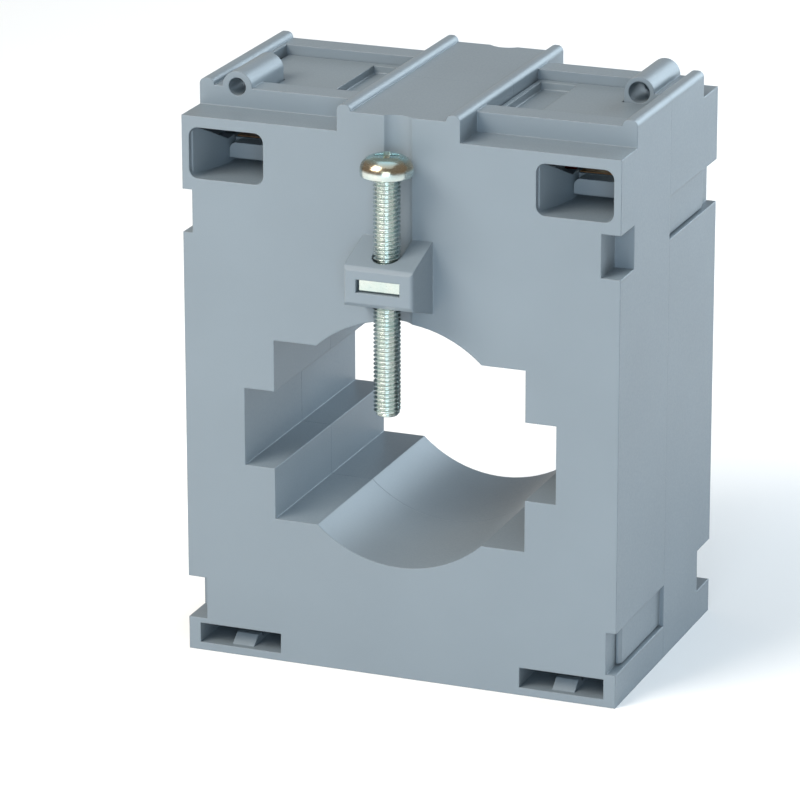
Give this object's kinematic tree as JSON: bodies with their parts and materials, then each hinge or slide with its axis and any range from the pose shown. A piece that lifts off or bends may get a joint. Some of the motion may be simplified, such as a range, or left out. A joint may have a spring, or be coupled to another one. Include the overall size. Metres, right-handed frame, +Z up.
{
  "type": "current transformer",
  "caption": "Box-shaped window current transformer in a split moulded case, with a stepped busbar window, busbar clamp screws and lidded terminals.",
  "frame": {"origin": "middle of the case's base", "axes": "+X to the right along the width, +Y along the window's axis from the front face to the rear face, +Z up"},
  "size_m": [0.085, 0.0754, 0.111],
  "materials": {
    "case_grey": "fine moulded satin",
    "lid_grey": "fine moulded satin",
    "carrier_grey": "moulded satin",
    "core_steel": "wound strip",
    "cap_black": "moulded",
    "winding_copper": "enamelled copper wire",
    "tape_cream": "wrapped film",
    "terminal_brass": "bright",
    "zinc_plate": "bright zinc plated",
    "lead_red": "wire insulation"
  },
  "bodies": {
    "case": {"front_shell": "case_grey", "rear_shell": "case_grey", "core": "core_steel", "core_cap_front": "cap_black", "core_cap_rear": "cap_black", "winding": "winding_copper", "winding_tape": "tape_cream", "carrier_left": "carrier_grey", "carrier_right": "carrier_grey", "terminal_bar_left": "terminal_brass", "terminal_bar_right": "terminal_brass", "lead_left": "lead_red", "lead_right": "lead_red", "square_nut_front": "zinc_plate", "square_nut_rear": "zinc_plate"},
    "lid_l": {"lid_left": "lid_grey"},
    "lid_r": {"lid_right": "lid_grey"},
    "clamp_l": {"clamp_plate_left": "zinc_plate", "terminal_screw_left": "zinc_plate"},
    "clamp_r": {"clamp_plate_right": "zinc_plate", "terminal_screw_right": "zinc_plate"},
    "busbar_screw_f": {"busbar_screw_front": "zinc_plate"},
    "busbar_screw_r": {"busbar_screw_rear": "zinc_plate"}
  },
  "joints": [
    {"name": "lid_left_lift", "type": "slide", "parent": "case", "child": "lid_l", "axis": [0, 0, 1], "range_m": [0, 0.012]},
    {"name": "lid_right_lift", "type": "slide", "parent": "case", "child": "lid_r", "axis": [0, 0, 1], "range_m": [0, 0.012]},
    {"name": "terminal_screw_left_travel", "type": "slide", "parent": "case", "child": "clamp_l", "axis": [0, 0, 1], "range_m": [0, 0.0025]},
    {"name": "terminal_screw_right_travel", "type": "slide", "parent": "case", "child": "clamp_r", "axis": [0, 0, 1], "range_m": [0, 0.0025]},
    {"name": "busbar_screw_front_travel", "type": "slide", "parent": "case", "child": "busbar_screw_f", "axis": [0, 0, 1], "range_m": [-0.013, 0.02]},
    {"name": "busbar_screw_rear_travel", "type": "slide", "parent": "case", "child": "busbar_screw_r", "axis": [0, 0, 1], "range_m": [-0.013, 0.02]}
  ]
}
